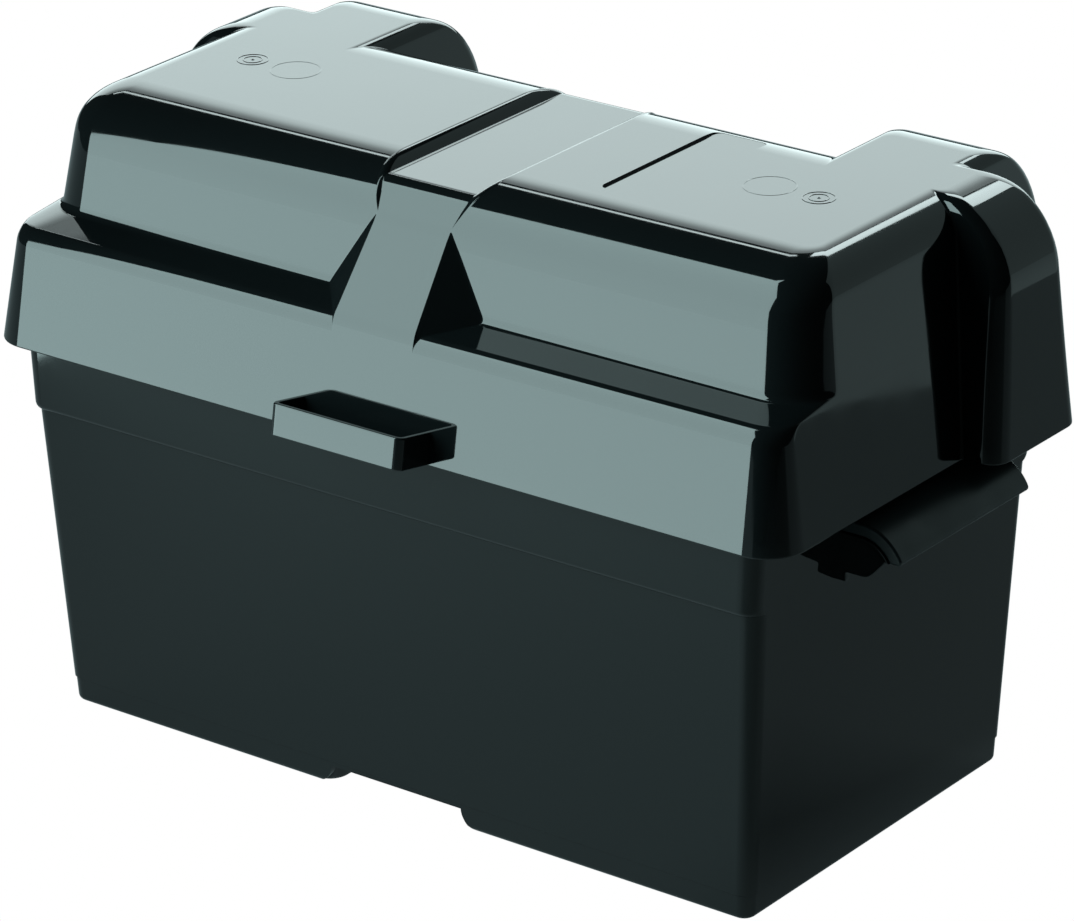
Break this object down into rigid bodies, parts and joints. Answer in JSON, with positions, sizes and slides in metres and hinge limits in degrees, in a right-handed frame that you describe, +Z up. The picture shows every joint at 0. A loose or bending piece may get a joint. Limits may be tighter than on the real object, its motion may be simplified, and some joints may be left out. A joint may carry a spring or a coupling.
{
  "type": "battery box",
  "caption": "Deep moulded battery box: open tub with end handles and a lift-off vented lid with cable hoods and a strap loop.",
  "frame": {"origin": "centre of the footprint, on the surface the two feet rest on", "axes": "+X along the length to the right-hand handle, -Y out of the front with the strap loop, +Z up"},
  "size_m": [0.4508, 0.2605, 0.2757],
  "materials": {
    "gloss_black": "glossy black moulded polypropylene",
    "satin_grip": "satin black grip pad"
  },
  "bodies": {
    "tub": {"battery_tub": "gloss_black", "left_handle_grip": "satin_grip", "right_handle_grip": "satin_grip"},
    "lid": {"lid": "gloss_black"}
  },
  "joints": [
    {"name": "lid_lift", "type": "slide", "parent": "tub", "child": "lid", "axis": [0, 0, 1], "range_m": [0, 0.12]}
  ]
}
